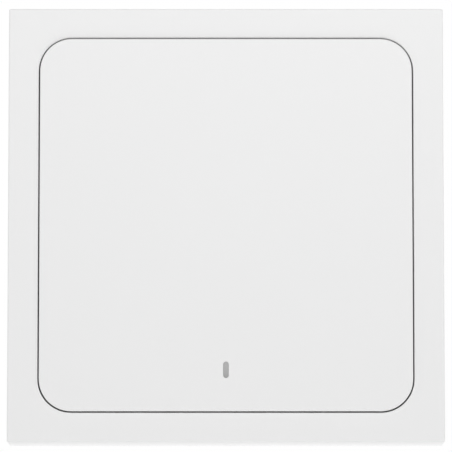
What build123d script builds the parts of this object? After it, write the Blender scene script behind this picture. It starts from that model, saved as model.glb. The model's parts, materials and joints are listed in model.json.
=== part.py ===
import os

from build123d import *

os.makedirs("parts", exist_ok=True)

# A square wall button: one large press cover, hinged along its top edge, in a square frame.
# The origin is the centre of the wall plate's back, on the wall. Depths are measured from the
# wall towards the front, which is -Y, and +Z is up. All sizes are in millimetres.

# Frame and its opening
frame_width = 80.0
frame_height = 80.0
frame_front = 11.5
side_border = 5.54
end_border = 5.4
opening_radius = 6.15
frame_face_wall = 1.8
frame_side_wall = 1.6
frame_corner_radius = 0.3
frame_edge_radius = 0.25
opening_edge = 0.12
frame_wall_gap = 0.4
collar_wall = 1.2
collar_reach = 2.3

# Press cover
cover_gap = 0.25
cover_proud = 0.5
cover_wall = 1.8
cover_edge_radius = 0.2
skirt_wall = 1.2
skirt_reach = 1.6
rib_wall = 0.8
rib_height = 0.9
rib_columns = 2
rib_rows = 3

# Wall plate, with its slots for wall screws and its foam pads
plate_thickness = 1.8
plate_inset = 0.4
plate_corner_radius = 1.6
slot_spacing = 60.0
slot_length = 7.0
slot_width = 4.2
screw_head_radius = 3.75
head_clearance = 0.15
head_recess = 0.9
pad_width = 12.0
pad_height = 44.0
pad_thickness = 0.8
pad_spacing = 36.0
pad_clearance = 0.15
relief_depth = 0.5
relief_rim = 2.4
relief_rib = 1.2
relief_pitch = 24.0
relief_ribs = 3
pad_frame = 1.0
slot_frame = 2.6

# Snap hooks that hold the chassis on the wall plate
latch_height = 14.0
latch_wall = 1.0
latch_width = 5.0
latch_barb = 0.6
latch_barb_depth = 0.85
latch_play = 0.05
latch_clearance = 0.25
latch_edge = 3.6

# Chassis
chassis_gap = 0.6
chassis_wall = 1.3
chassis_corner_radius = 2.0
floor_thickness = 1.2
floor_rib_wall = 0.8
floor_rib_height = 0.7
floor_rib_pitch = 12.0
floor_rib_columns = 4
snap_length = 30.0
snap_width = 0.9
snap_depth = 3.6
snap_clearance = 0.15
snap_taper = 30.0

# Hinge
hinge_drop = 4.35
hinge_rise = 4.0
hinge_spacing = 44.0
pin_radius = 1.2
pin_clearance = 0.05
lug_width = 3.2
lug_radius = 1.9
cheek_width = 2.0
cheek_gap = 0.2
cheek_span = 4.4
cheek_wrap = 1.7
mouth_width = 2.0
mouth_flare = 0.5

# Hooks that stop the cover at rest, and their catches
hook_spacing = 52.0
hook_width = 5.0
hook_wall = 1.2
hook_inset = 0.8
hook_barb = 0.9
hook_barb_depth = 1.1
hook_lead = 0.5
hook_play = 0.1
hook_clearance = 0.3
catch_rise = 3.0
catch_wall = 1.0
catch_lip_depth = 0.8
catch_margin = 1.0

# Landing shelf behind the cover's lower edge
shelf_width = 42.0
shelf_reach = 3.4
shelf_rise = 2.8
shelf_wall = 1.2
gusset_wall = 0.9
gusset_spacing = 13.4
gusset_count = 4
bumper_length = 9.0
bumper_width = 1.2
bumper_thickness = 0.3
bumper_spacing = 26.0

# Circuit board, its bosses, pegs and screws
standoff_height = 1.2
board_thickness = 1.0
board_side_gap = 2.5
board_hinge_gap = 0.6
board_bottom_gap = 7.0
board_corner_radius = 2.0
boss_radius = 2.3
boss_side = 4.0
boss_end = 3.6
boss_bore_radius = 0.9
boss_bore_stop = 0.3
peg_size = 1.8
peg_tip = 0.7
peg_clearance = 0.1
board_hole_radius = 1.1
screw_radius = 0.85
screw_length = 2.8
screw_cap_radius = 1.9
screw_cap_height = 1.1

# Coin cell and its contacts
cell_radius = 10.0
cell_thickness = 3.2
cell_rise = 12.5
cell_lift = 0.5
cell_edge = 0.35
cap_step = 0.25
cap_radius = 8.8
cap_thickness = 1.5
gasket_wall = 0.6
ring_gap = 0.3
ring_wall = 1.0
ring_rise = 3.2
ring_board_gap = 0.4
finger_width = 9.0
finger_depth = 1.6
contact_width = 5.0
contact_wall = 0.25
contact_bend = 0.35
contact_touch = 0.05
contact_foot = 3.2
clip_reach = 5.0
spring_reach = 3.0
spring_flat = 2.0
notch_margin = 0.3

# Tactile switches
switch_spacing = 32.0
switch_drop = 30.0
switch_height = 3.4
switch_size = 6.2
switch_base_height = 1.8
switch_floor = 0.6
switch_chamfer = 0.4
cavity_size = 4.5
shell_wall = 0.2
shell_hole_radius = 1.85
shell_leg_width = 3.0
shell_leg_reach = 1.4
plunger_radius = 1.7
flange_length = 4.2
flange_width = 1.6
flange_height = 0.25
flange_play = 0.03
dome_reach = 2.05
dome_crown = 0.8
dome_width = 1.6
dome_wall = 0.12
dome_play = 0.05
terminal_width = 0.7
terminal_pitch = 4.5
terminal_wall = 0.2
terminal_rise = 0.4
terminal_out = 0.5
terminal_foot = 0.8
post_size = 3.0
post_wall = 1.0
post_gap = 0.06

# Indicator
indicator_rise = 7.55
indicator_width = 1.0
indicator_height = 3.0
lens_clearance = 0.03
lens_flange_margin = 0.7
lens_flange_height = 0.8
shroud_height = 2.2
shroud_wall = 0.7
shroud_margin = 0.9
led_length = 2.0
led_width = 1.25
led_base_height = 0.5
led_lens_height = 0.35
led_lens_inset = 0.3

# Radio module and small parts on the board
module_width = 16.0
module_height = 12.0
module_thickness = 0.8
module_shift = 3.0
edge_pad_size = 0.8
edge_pad_pitch = 2.5
edge_pad_count = 4
shield_size = 10.8
shield_height = 1.7
shield_wall = 0.2
shield_edge = 0.5
chip_size = 5.0
chip_height = 0.85
crystal_length = 2.5
crystal_width = 2.0
crystal_height = 0.6
chip_shift = 1.6
crystal_shift = 3.6
antenna_width = 0.5
antenna_wall = 0.1
antenna_pitch = 1.0
antenna_turns = 5
antenna_edge = 0.6
antenna_reach = 3.2
chip_part_length = 1.6
chip_part_width = 0.8
capacitor_height = 0.8
resistor_height = 0.45
chip_part_pitch_across = 2.6
chip_part_pitch_up = 2.2
chip_part_columns = 3
chip_part_rows = 2
chip_parts_across = 8.0
capacitors_rise = 14.0
resistors_rise = 7.0
tantalum_length = 7.3
tantalum_width = 4.3
tantalum_height = 2.0
tantalum_shift = 8.5
tantalum_rise = 13.5
tantalum_edge = 0.3

# Depths of the stacked layers
floor_front = plate_thickness + floor_thickness
board_back = floor_front + standoff_height
board_front = board_back + board_thickness
frame_back = frame_front - frame_face_wall
cover_front = frame_front + cover_proud
cover_back = cover_front - cover_wall
hinge_depth = floor_front + hinge_rise
plunger_top = board_front + switch_height

# Outlines that fit into one another
opening_width = frame_width - 2 * side_border
opening_height = frame_height - 2 * end_border
cover_width = opening_width - 2 * cover_gap
cover_height = opening_height - 2 * cover_gap
cover_radius = opening_radius - cover_gap
rib_pitch_across = cover_width / (rib_columns + 1)
rib_pitch_up = cover_height / (rib_rows + 1)
frame_inner_width = frame_width - 2 * frame_side_wall
frame_inner_height = frame_height - 2 * frame_side_wall
chassis_width = frame_inner_width - 2 * chassis_gap
chassis_height = frame_inner_height - 2 * chassis_gap
plate_width = chassis_width - 2 * plate_inset
plate_height = chassis_height - 2 * plate_inset
chassis_inner_width = chassis_width - 2 * chassis_wall
chassis_inner_height = chassis_height - 2 * chassis_wall
board_width = chassis_inner_width - 2 * board_side_gap
hinge_z = cover_height / 2 - hinge_drop
board_top = hinge_z - cheek_span / 2 - board_hinge_gap
board_bottom = board_bottom_gap - chassis_inner_height / 2
board_height = board_top - board_bottom
board_centre = (board_top + board_bottom) / 2
boss_x = board_width / 2 - boss_side
screw_places = [(-boss_x, board_top - boss_end), (boss_x, board_bottom + boss_end)]
peg_places = [(boss_x, board_top - boss_end), (-boss_x, board_bottom + boss_end)]
switch_z = hinge_z - switch_drop
cell_z = switch_z + cell_rise
indicator_z = indicator_rise - cover_height / 2


def layer(depth):
    """Plane parallel to the wall at this depth, with +X to the right and +Z up."""
    return Plane.XZ.offset(depth)


def upright(across):
    """Plane across the part, square to X, with local axes along +Y and +Z."""
    return Plane.YZ.offset(across)


def level(height):
    """Plane at this height, with local axes along +X and +Y, so depths are negative there."""
    return Plane.XY.offset(height)


def save(piece, name):
    """Label a finished piece and write its file."""
    piece.part.label = name
    export_step(piece.part, f"parts/{name}.step")


def side_plane(side, half_width, half_height, facing=1):
    """Plane on one side wall, facing outwards or inwards, with local x towards the front."""
    across, up = side
    origin = (across * half_width, 0, up * half_height)
    return Plane(origin=origin, x_dir=(0, -1, 0), z_dir=(facing * across, 0, facing * up))


sides = [(1, 0), (0, 1), (-1, 0), (0, -1)]
slot_places = [(-slot_spacing / 2, 0), (slot_spacing / 2, 0)]
upright_slot_places = [(0, -slot_spacing / 2), (0, slot_spacing / 2)]


def slots(length, width, mode=Mode.ADD):
    """The four slot outlines, two running across and two running up."""
    with Locations(*slot_places):
        SlotOverall(length, width, mode=mode)
    with Locations(*upright_slot_places):
        SlotOverall(length, width, rotation=90, mode=mode)


def windows(length, width):
    """Rectangles round the four slots, with room for the screw heads."""
    with Locations(*slot_places):
        Rectangle(length, width)
    with Locations(*upright_slot_places):
        Rectangle(width, length)


# Frame: a square face with side walls behind it and a collar around the opening
snap_height = chassis_gap - snap_clearance
frame_inner_radius = chassis_corner_radius + chassis_gap

with BuildPart() as frame:
    with BuildSketch(layer(frame_wall_gap)):
        RectangleRounded(frame_width, frame_height, frame_corner_radius)
    extrude(amount=frame_front - frame_wall_gap)
    fillet(frame.faces().sort_by(Axis.Y)[0].edges(), frame_edge_radius)
    with BuildSketch(layer(frame_wall_gap)):
        RectangleRounded(frame_inner_width, frame_inner_height, frame_inner_radius)
    extrude(amount=frame_back - frame_wall_gap, mode=Mode.SUBTRACT)
    with BuildSketch(layer(frame_back - collar_reach)):
        RectangleRounded(
            opening_width + 2 * collar_wall,
            opening_height + 2 * collar_wall,
            opening_radius + collar_wall,
        )
    extrude(amount=collar_reach)
    with BuildSketch(layer(frame_back - collar_reach)):
        RectangleRounded(opening_width, opening_height, opening_radius)
    extrude(amount=collar_reach + frame_face_wall, mode=Mode.SUBTRACT)
    face = frame.faces().sort_by(Axis.Y)[0]
    chamfer(face.inner_wires()[0].edges(), opening_edge)
    for side in sides:
        with BuildSketch(side_plane(side, frame_inner_width / 2, frame_inner_height / 2, -1)):
            with Locations((snap_depth - snap_width - snap_clearance, 0)):
                Rectangle(snap_width, snap_length)
        extrude(amount=snap_height, taper=snap_taper)
save(frame, "frame")

# Chassis: a tray with hinge bearings, battery ring, screw bosses, catches and landing shelf
ring_inner_radius = cell_radius + ring_gap
ring_outer_radius = ring_inner_radius + ring_wall
window_width = 2 * (screw_head_radius + head_clearance)
window_length = window_width + slot_length - slot_width
latch_outer = chassis_inner_width / 2 - latch_edge
latch_inner = latch_outer - latch_wall
cheek_x = hinge_spacing / 2 + lug_width / 2 + cheek_gap + cheek_width / 2
cheek_front = hinge_depth + cheek_wrap
hook_outer = -cover_height / 2 + skirt_wall + hook_inset
catch_inner = hook_outer - hook_barb - hook_clearance
lip_back = floor_front + catch_rise
lip_front = lip_back + catch_lip_depth
shelf_back = floor_front + shelf_rise
shelf_front = shelf_back + shelf_wall
shelf_edge = shelf_reach - chassis_inner_height / 2
shelf_centre = (shelf_edge - chassis_inner_height / 2) / 2
rib_band_bottom = board_bottom + board_corner_radius
rib_band_top = switch_z - switch_size

with BuildPart() as chassis:
    with BuildSketch(layer(plate_thickness)):
        RectangleRounded(chassis_width, chassis_height, chassis_corner_radius)
    extrude(amount=frame_back - plate_thickness)
    with BuildSketch(layer(floor_front)):
        RectangleRounded(
            chassis_inner_width, chassis_inner_height, chassis_corner_radius - chassis_wall
        )
    extrude(amount=frame_back - floor_front, mode=Mode.SUBTRACT)
    for side in sides:
        with BuildSketch(side_plane(side, chassis_width / 2, chassis_height / 2)):
            with Locations((snap_depth, 0)):
                Rectangle(snap_width, snap_length)
        extrude(amount=snap_height, taper=snap_taper)
    # Stiffening ribs on the lower half of the floor
    with BuildSketch(layer(floor_front)):
        with Locations((0, (rib_band_bottom + rib_band_top) / 2)):
            with GridLocations(floor_rib_pitch, 0, floor_rib_columns, 1):
                Rectangle(floor_rib_wall, rib_band_top - rib_band_bottom)
            Rectangle(floor_rib_pitch * (floor_rib_columns - 1), floor_rib_wall)
    extrude(amount=floor_rib_height)
    # Screw bosses at two corners of the board, pegs on standoffs at the other two
    with BuildSketch(layer(floor_front)):
        with Locations(*screw_places):
            Circle(boss_radius)
        with Locations(*peg_places):
            Rectangle(2 * boss_radius, 2 * boss_radius)
    extrude(amount=standoff_height)
    with BuildSketch(layer(board_back)):
        with Locations(*peg_places):
            Rectangle(peg_size, peg_size)
    extrude(amount=board_thickness + peg_tip)
    with BuildSketch(layer(plate_thickness + boss_bore_stop)):
        with Locations(*screw_places):
            Circle(boss_bore_radius)
    extrude(amount=board_back - plate_thickness - boss_bore_stop, mode=Mode.SUBTRACT)
    # Battery ring, with finger gaps and a notch for the lower contact
    with BuildSketch(layer(floor_front)):
        with Locations((0, cell_z)):
            Circle(ring_outer_radius)
            Circle(ring_inner_radius, mode=Mode.SUBTRACT)
    extrude(amount=ring_rise)
    with BuildSketch(layer(floor_front + ring_rise - finger_depth)):
        with Locations((0, cell_z)):
            Rectangle(finger_width, 2 * ring_outer_radius)
    extrude(amount=finger_depth, mode=Mode.SUBTRACT)
    with BuildSketch(layer(floor_front)):
        with Locations(((ring_inner_radius + ring_outer_radius) / 2, cell_z)):
            Rectangle(2 * ring_wall, contact_width + 2 * notch_margin)
    extrude(amount=contact_wall + notch_margin, mode=Mode.SUBTRACT)
    # Hinge bearings, open to the front so that the pins snap in
    for hand in (-1, 1):
        with BuildSketch(upright(hand * cheek_x - cheek_width / 2)):
            with Locations((-(floor_front + cheek_front) / 2, hinge_z)):
                Rectangle(cheek_front - floor_front, cheek_span)
            with Locations((-hinge_depth, hinge_z)):
                Circle(pin_radius + pin_clearance, mode=Mode.SUBTRACT)
            with BuildLine():
                Polyline(
                    (-hinge_depth, hinge_z - mouth_width / 2),
                    (-hinge_depth, hinge_z + mouth_width / 2),
                    (mouth_flare - cheek_front, hinge_z + mouth_width / 2),
                    (-cheek_front, hinge_z + mouth_width / 2 + mouth_flare),
                    (-cheek_front, hinge_z - mouth_width / 2 - mouth_flare),
                    (mouth_flare - cheek_front, hinge_z - mouth_width / 2),
                    close=True,
                )
            make_face(mode=Mode.SUBTRACT)
        extrude(amount=cheek_width)
    # Catches for the cover's hooks
    for hook_x in (-hook_spacing / 2, hook_spacing / 2):
        with BuildSketch(upright(hook_x - hook_width / 2 - catch_margin)):
            with BuildLine():
                Polyline(
                    (-floor_front, catch_inner),
                    (-lip_back, catch_inner),
                    (-lip_back, hook_outer - hook_clearance),
                    (hook_lead - lip_front, hook_outer - hook_clearance),
                    (-lip_front, hook_outer - hook_clearance - hook_lead),
                    (-lip_front, catch_inner - catch_wall),
                    (-floor_front, catch_inner - catch_wall),
                    close=True,
                )
            make_face()
        extrude(amount=hook_width + 2 * catch_margin)
    # Landing shelf on its gussets
    with BuildSketch(layer(shelf_back)):
        with Locations((0, shelf_centre)):
            Rectangle(shelf_width, shelf_reach)
    extrude(amount=shelf_wall)
    with BuildSketch(layer(floor_front)):
        with Locations((0, shelf_centre)):
            with GridLocations(gusset_spacing, 0, gusset_count, 1):
                Rectangle(gusset_wall, shelf_reach)
    extrude(amount=shelf_rise)
    # Openings in the floor for the wall screws and the latches
    with BuildSketch(layer(plate_thickness)):
        windows(window_length, window_width)
        for hand in (-1, 1):
            with Locations((hand * (latch_inner + latch_outer) / 2, 0)):
                with GridLocations(0, 2 * latch_height, 1, 2):
                    Rectangle(
                        latch_wall + 2 * latch_clearance, latch_width + 2 * latch_clearance
                    )
    extrude(amount=floor_thickness, mode=Mode.SUBTRACT)
save(chassis, "chassis")

# Wall plate: slots for wall screws, recesses for their heads and for the foam pads, latches
with BuildPart() as wall_plate:
    with BuildSketch(layer(0)):
        RectangleRounded(plate_width, plate_height, plate_corner_radius)
        slots(slot_length, slot_width, mode=Mode.SUBTRACT)
    extrude(amount=plate_thickness)
    with BuildSketch(layer(plate_thickness - head_recess)):
        windows(window_length, window_width)
    extrude(amount=head_recess, mode=Mode.SUBTRACT)
    with BuildSketch(layer(0)):
        with GridLocations(pad_spacing, 0, 2, 1):
            Rectangle(pad_width + 2 * pad_clearance, pad_height + 2 * pad_clearance)
    extrude(amount=pad_thickness, mode=Mode.SUBTRACT)
    # Shallow pockets in the back, between a rim, cross ribs and lands for the pads and slots
    with BuildSketch(layer(0)):
        Rectangle(plate_width - 2 * relief_rim, plate_height - 2 * relief_rim)
        with GridLocations(pad_spacing, 0, 2, 1):
            Rectangle(
                pad_width + 2 * (pad_clearance + pad_frame),
                pad_height + 2 * (pad_clearance + pad_frame),
                mode=Mode.SUBTRACT,
            )
        with Locations(*slot_places, *upright_slot_places):
            Rectangle(
                slot_length + 2 * slot_frame, slot_length + 2 * slot_frame, mode=Mode.SUBTRACT
            )
        with GridLocations(relief_pitch, 0, relief_ribs, 1):
            Rectangle(relief_rib, plate_height, mode=Mode.SUBTRACT)
        with GridLocations(0, relief_pitch, 1, relief_ribs):
            Rectangle(plate_width, relief_rib, mode=Mode.SUBTRACT)
    extrude(amount=relief_depth, mode=Mode.SUBTRACT)
    barb_back = floor_front + latch_play
    barb_front = barb_back + latch_barb_depth
    for bottom in (-latch_height - latch_width / 2, latch_height - latch_width / 2):
        with BuildSketch(level(bottom)):
            for hand in (-1, 1):
                with BuildLine():
                    Polyline(
                        (hand * latch_inner, -plate_thickness),
                        (hand * latch_outer, -plate_thickness),
                        (hand * latch_outer, -barb_back),
                        (hand * (latch_outer + latch_barb), -barb_back),
                        (hand * latch_outer, -barb_front),
                        (hand * latch_inner, -barb_front),
                        close=True,
                    )
                make_face()
        extrude(amount=latch_width)
save(wall_plate, "wall_plate")

# Foam pads, flush with the wall plate's back
for name, hand in (("adhesive_pad_left", -1), ("adhesive_pad_right", 1)):
    with BuildPart() as pad:
        with BuildSketch(layer(0)):
            with Locations((hand * pad_spacing / 2, 0)):
                Rectangle(pad_width, pad_height)
        extrude(amount=pad_thickness)
    save(pad, name)

# Press cover, with its skirt, ribs, switch posts, hinge lugs and hooks
hook_inner = hook_outer + hook_wall
barb_top = lip_back - hook_play
barb_tip = barb_top - hook_barb_depth
pin_length = lug_width / 2 + cheek_gap + cheek_width

with BuildPart() as button_cover:
    with BuildSketch(layer(cover_back)):
        RectangleRounded(cover_width, cover_height, cover_radius)
    extrude(amount=cover_wall)
    fillet(button_cover.faces().sort_by(Axis.Y)[0].edges(), cover_edge_radius)
    with BuildSketch(layer(cover_back - skirt_reach)):
        RectangleRounded(cover_width, cover_height, cover_radius)
        RectangleRounded(
            cover_width - 2 * skirt_wall,
            cover_height - 2 * skirt_wall,
            cover_radius - skirt_wall,
            mode=Mode.SUBTRACT,
        )
    extrude(amount=skirt_reach)
    with BuildSketch(layer(cover_back - rib_height)):
        with GridLocations(rib_pitch_across, 0, rib_columns, 1):
            Rectangle(rib_wall, cover_height - 2 * skirt_wall)
        with GridLocations(0, rib_pitch_up, 1, rib_rows):
            Rectangle(cover_width - 2 * skirt_wall, rib_wall)
    extrude(amount=rib_height)
    with BuildSketch(layer(cover_back)):
        with Locations((0, indicator_z)):
            SlotOverall(indicator_height, indicator_width, rotation=90)
    extrude(amount=cover_wall, mode=Mode.SUBTRACT)
    with BuildSketch(layer(plunger_top + post_gap)):
        with Locations((0, switch_z)):
            with GridLocations(switch_spacing, 0, 2, 1):
                Rectangle(post_size, post_wall)
                Rectangle(post_wall, post_size)
    extrude(amount=cover_back - plunger_top - post_gap)
    for hand in (-1, 1):
        with BuildSketch(upright(hand * hinge_spacing / 2 - lug_width / 2)):
            with Locations((-hinge_depth, hinge_z)):
                Circle(lug_radius)
            with Locations((-(hinge_depth + cover_back) / 2, hinge_z)):
                Rectangle(cover_back - hinge_depth, 2 * lug_radius)
        extrude(amount=lug_width)
        with BuildSketch(upright(hand * hinge_spacing / 2)):
            with Locations((-hinge_depth, hinge_z)):
                Circle(pin_radius)
        extrude(amount=hand * pin_length)
    for hook_x in (-hook_spacing / 2, hook_spacing / 2):
        with BuildSketch(upright(hook_x - hook_width / 2)):
            with BuildLine():
                Polyline(
                    (-cover_back, hook_inner),
                    (-barb_tip, hook_inner),
                    (-barb_tip, hook_outer),
                    (-barb_top + hook_lead, hook_outer - hook_barb),
                    (-barb_top, hook_outer - hook_barb),
                    (-barb_top, hook_outer),
                    (-cover_back, hook_outer),
                    close=True,
                )
            make_face()
        extrude(amount=hook_width)
save(button_cover, "button_cover")

# Indicator lens: fills the slit, with a flange behind the cover
with BuildPart() as indicator_lens:
    with BuildSketch(layer(cover_back)):
        with Locations((0, indicator_z)):
            SlotOverall(
                indicator_height - 2 * lens_clearance,
                indicator_width - 2 * lens_clearance,
                rotation=90,
            )
    extrude(amount=cover_wall)
    with BuildSketch(layer(cover_back - lens_flange_height)):
        with Locations((0, indicator_z)):
            Rectangle(
                indicator_width + 2 * lens_flange_margin,
                indicator_height + 2 * lens_flange_margin,
            )
    extrude(amount=lens_flange_height)
save(indicator_lens, "indicator_lens")

# Soft strips that the pressed cover lands on
with BuildPart() as landing_bumpers:
    with BuildSketch(layer(shelf_front)):
        with Locations((0, (skirt_wall - cover_height) / 2)):
            with GridLocations(bumper_spacing, 0, 2, 1):
                Rectangle(bumper_length, bumper_width)
    extrude(amount=bumper_thickness)
save(landing_bumpers, "landing_bumpers")

# Circuit board, with a round opening for the battery ring
board_opening_radius = ring_outer_radius + ring_board_gap
with BuildPart() as circuit_board:
    with BuildSketch(layer(board_back)):
        with Locations((0, board_centre)):
            RectangleRounded(board_width, board_height, board_corner_radius)
        with Locations((0, cell_z)):
            Circle(board_opening_radius, mode=Mode.SUBTRACT)
        with Locations(*screw_places):
            Circle(board_hole_radius, mode=Mode.SUBTRACT)
        with Locations(*peg_places):
            Rectangle(
                peg_size + 2 * peg_clearance, peg_size + 2 * peg_clearance, mode=Mode.SUBTRACT
            )
    extrude(amount=board_thickness)
save(circuit_board, "circuit_board")

with BuildPart() as board_screws:
    with BuildSketch(layer(board_front)):
        with Locations(*screw_places):
            Circle(screw_cap_radius)
    extrude(amount=screw_cap_height)
    with BuildSketch(layer(board_front - screw_length)):
        with Locations(*screw_places):
            Circle(screw_radius)
    extrude(amount=screw_length)
save(board_screws, "board_screws")

# Coin cell: a can over a gasket and a cap, resting just above the lower contact
cell_back = floor_front + cell_lift
cell_front = cell_back + cell_thickness
with BuildPart() as battery_can:
    with BuildSketch(layer(cell_back + cap_step)):
        with Locations((0, cell_z)):
            Circle(cell_radius)
    extrude(amount=cell_thickness - cap_step)
    chamfer(battery_can.faces().sort_by(Axis.Y)[0].edges(), cell_edge)
    with BuildSketch(layer(cell_back + cap_step)):
        with Locations((0, cell_z)):
            Circle(cap_radius + gasket_wall)
    extrude(amount=cap_thickness - cap_step, mode=Mode.SUBTRACT)
save(battery_can, "battery_can")

with BuildPart() as battery_gasket:
    with BuildSketch(layer(cell_back + cap_step)):
        with Locations((0, cell_z)):
            Circle(cap_radius + gasket_wall)
            Circle(cap_radius, mode=Mode.SUBTRACT)
    extrude(amount=cap_thickness - cap_step)
save(battery_gasket, "battery_gasket")

with BuildPart() as battery_cap:
    with BuildSketch(layer(cell_back)):
        with Locations((0, cell_z)):
            Circle(cap_radius)
    extrude(amount=cap_thickness)
    chamfer(battery_cap.faces().sort_by(Axis.Y)[-1].edges(), cap_step)
save(battery_cap, "battery_cap")

# Battery contacts, each a bent strip
strip_half = contact_wall / 2
riser_x = board_opening_radius + contact_bend
with BuildPart() as battery_positive_clip:
    with BuildSketch(level(cell_z - contact_width / 2)):
        with BuildLine():
            FilletPolyline(
                (-riser_x - contact_foot, -board_front - strip_half),
                (-riser_x, -board_front - strip_half),
                (-riser_x, -cell_front - contact_touch - strip_half),
                (clip_reach - cell_radius, -cell_front - contact_touch - strip_half),
                radius=contact_bend,
            )
        trace(line_width=contact_wall)
    extrude(amount=contact_width)
save(battery_positive_clip, "battery_positive_clip")

with BuildPart() as battery_negative_spring:
    with BuildSketch(level(cell_z - contact_width / 2)):
        with BuildLine():
            FilletPolyline(
                (-spring_reach, contact_touch + strip_half - cell_back),
                (spring_flat, -floor_front - strip_half),
                (riser_x, -floor_front - strip_half),
                (riser_x, strip_half - board_back),
                (riser_x + contact_foot, strip_half - board_back),
                radius=contact_bend,
            )
        trace(line_width=contact_wall)
    extrude(amount=contact_width)
save(battery_negative_spring, "battery_negative_spring")

# Tactile switches, each a base, terminals, shell, four-legged dome and plunger
base_front = board_front + switch_base_height
cavity_back = board_front + switch_floor
plunger_back = base_front - flange_play - flange_height
dome_front = plunger_back - dome_play
# Arched strip, as pairs of the distance from its middle and the depth
arch = [
    (-dome_reach, cavity_back + dome_wall),
    (-dome_crown, dome_front),
    (dome_crown, dome_front),
    (dome_reach, cavity_back + dome_wall),
    (dome_reach, cavity_back),
    (dome_crown, dome_front - dome_wall),
    (-dome_crown, dome_front - dome_wall),
    (-dome_reach, cavity_back),
]
for name, hand in (("left", -1), ("right", 1)):
    switch_x = hand * switch_spacing / 2
    with BuildPart() as switch_base:
        with BuildSketch(layer(board_front)):
            with Locations((switch_x, switch_z)):
                Rectangle(switch_size, switch_size)
        extrude(amount=switch_base_height)
        chamfer(switch_base.edges().filter_by(Axis.Y), switch_chamfer)
        with BuildSketch(layer(cavity_back)):
            with Locations((switch_x, switch_z)):
                Rectangle(cavity_size, cavity_size)
        extrude(amount=base_front - cavity_back, mode=Mode.SUBTRACT)
    save(switch_base, f"{name}_switch_base")

    with BuildPart() as switch_terminals:
        for end in (-1, 1):
            root_x = switch_x + end * switch_size / 2
            bend_x = root_x + end * terminal_out
            for z in (-terminal_pitch / 2, terminal_pitch / 2):
                with BuildSketch(level(switch_z + z - terminal_width / 2)):
                    with BuildLine():
                        Polyline(
                            (root_x, -board_front - terminal_rise),
                            (bend_x, -board_front - terminal_rise),
                            (bend_x, -board_front - terminal_wall / 2),
                            (bend_x + end * terminal_foot, -board_front - terminal_wall / 2),
                        )
                    trace(line_width=terminal_wall)
                extrude(amount=terminal_width)
    save(switch_terminals, f"{name}_switch_terminals")

    with BuildPart() as switch_shell:
        with BuildSketch(layer(base_front)):
            with Locations((switch_x, switch_z)):
                Rectangle(switch_size, switch_size)
                Circle(shell_hole_radius, mode=Mode.SUBTRACT)
        extrude(amount=shell_wall)
        with BuildSketch(layer(base_front - shell_leg_reach)):
            with Locations((switch_x, switch_z)):
                with GridLocations(0, switch_size + shell_wall, 1, 2):
                    Rectangle(shell_leg_width, shell_wall)
        extrude(amount=shell_leg_reach + shell_wall)
    save(switch_shell, f"{name}_switch_shell")

    with BuildPart() as switch_dome:
        with BuildSketch(level(switch_z - dome_width / 2)):
            with BuildLine():
                Polyline(*[(switch_x + reach, -depth) for reach, depth in arch], close=True)
            make_face()
        extrude(amount=dome_width)
        with BuildSketch(upright(switch_x - dome_width / 2)):
            with BuildLine():
                Polyline(*[(-depth, switch_z + reach) for reach, depth in arch], close=True)
            make_face()
        extrude(amount=dome_width)
    save(switch_dome, f"{name}_switch_dome")

    with BuildPart() as switch_plunger:
        with BuildSketch(layer(plunger_back)):
            with Locations((switch_x, switch_z)):
                Rectangle(flange_length, flange_width)
        extrude(amount=flange_height)
        with BuildSketch(layer(plunger_back + flange_height)):
            with Locations((switch_x, switch_z)):
                Circle(plunger_radius)
        extrude(amount=plunger_top - plunger_back - flange_height)
    save(switch_plunger, f"{name}_switch_plunger")

# Status light on the board and the shroud that guides it to the lens
with BuildPart() as status_led:
    with BuildSketch(layer(board_front)):
        with Locations((0, indicator_z)):
            Rectangle(led_width, led_length)
    extrude(amount=led_base_height)
    with BuildSketch(layer(board_front + led_base_height)):
        with Locations((0, indicator_z)):
            Rectangle(led_width - led_lens_inset, led_length - led_lens_inset)
    extrude(amount=led_lens_height)
save(status_led, "status_led")

bore_length = indicator_height + 2 * shroud_margin
bore_width = indicator_width + 2 * shroud_margin
with BuildPart() as light_shroud:
    with BuildSketch(layer(board_front)):
        with Locations((0, indicator_z)):
            Rectangle(bore_width + 2 * shroud_wall, bore_length + 2 * shroud_wall)
            Rectangle(bore_width, bore_length, mode=Mode.SUBTRACT)
    extrude(amount=shroud_height)
save(light_shroud, "light_shroud")

# Radio module: its own small board with edge notches, chip, crystal, shield and antenna
module_front = board_front + module_thickness
module_x = -switch_spacing / 2 - module_shift
module_z = (board_bottom + switch_z - switch_size / 2) / 2
module_place = (module_x, module_z)
shield_x = module_x + module_width / 2 - shield_edge - shield_size / 2
shield_place = (shield_x, module_z)
with BuildPart() as radio_board:
    with BuildSketch(layer(board_front)):
        with Locations(module_place):
            Rectangle(module_width, module_height)
        with Locations(shield_place):
            with GridLocations(edge_pad_pitch, module_height, edge_pad_count, 2):
                Rectangle(edge_pad_size, edge_pad_size, mode=Mode.SUBTRACT)
    extrude(amount=module_thickness)
save(radio_board, "radio_board")

with BuildPart() as radio_shield:
    with BuildSketch(layer(module_front)):
        with Locations(shield_place):
            Rectangle(shield_size, shield_size)
    extrude(amount=shield_height)
    with BuildSketch(layer(module_front)):
        with Locations(shield_place):
            Rectangle(shield_size - 2 * shield_wall, shield_size - 2 * shield_wall)
    extrude(amount=shield_height - shield_wall, mode=Mode.SUBTRACT)
save(radio_shield, "radio_shield")

with BuildPart() as radio_chip:
    with BuildSketch(layer(module_front)):
        with Locations((shield_x - chip_shift, module_z)):
            Rectangle(chip_size, chip_size)
    extrude(amount=chip_height)
save(radio_chip, "radio_chip")

with BuildPart() as radio_crystal:
    with BuildSketch(layer(module_front)):
        with Locations((shield_x + crystal_shift, module_z)):
            Rectangle(crystal_width, crystal_length)
    extrude(amount=crystal_height)
save(radio_crystal, "radio_crystal")

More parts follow.
